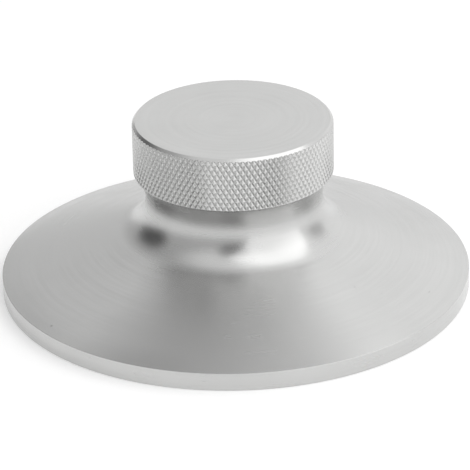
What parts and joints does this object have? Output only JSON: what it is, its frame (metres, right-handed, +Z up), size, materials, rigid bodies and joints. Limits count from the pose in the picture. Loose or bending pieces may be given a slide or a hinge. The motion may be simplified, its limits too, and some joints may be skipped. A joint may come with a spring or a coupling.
{
  "type": "record weight clamp",
  "caption": "Turned aluminium record weight: a low cone with a straight rim, a coved waist and a knurled grip knob, with a blind bore that drops over the turntable spindle.",
  "frame": {"origin": "middle of the flat underside, on the turning axis", "axes": "+Z up along the turning axis, from the underside towards the knob; X and Y lie in the underside and are alike"},
  "size_m": [0.08, 0.08, 0.0304],
  "materials": {
    "turned_aluminium": "fine turned satin, bare metal"
  },
  "bodies": {
    "root": {"record_weight": "turned_aluminium"}
  },
  "joints": []
}
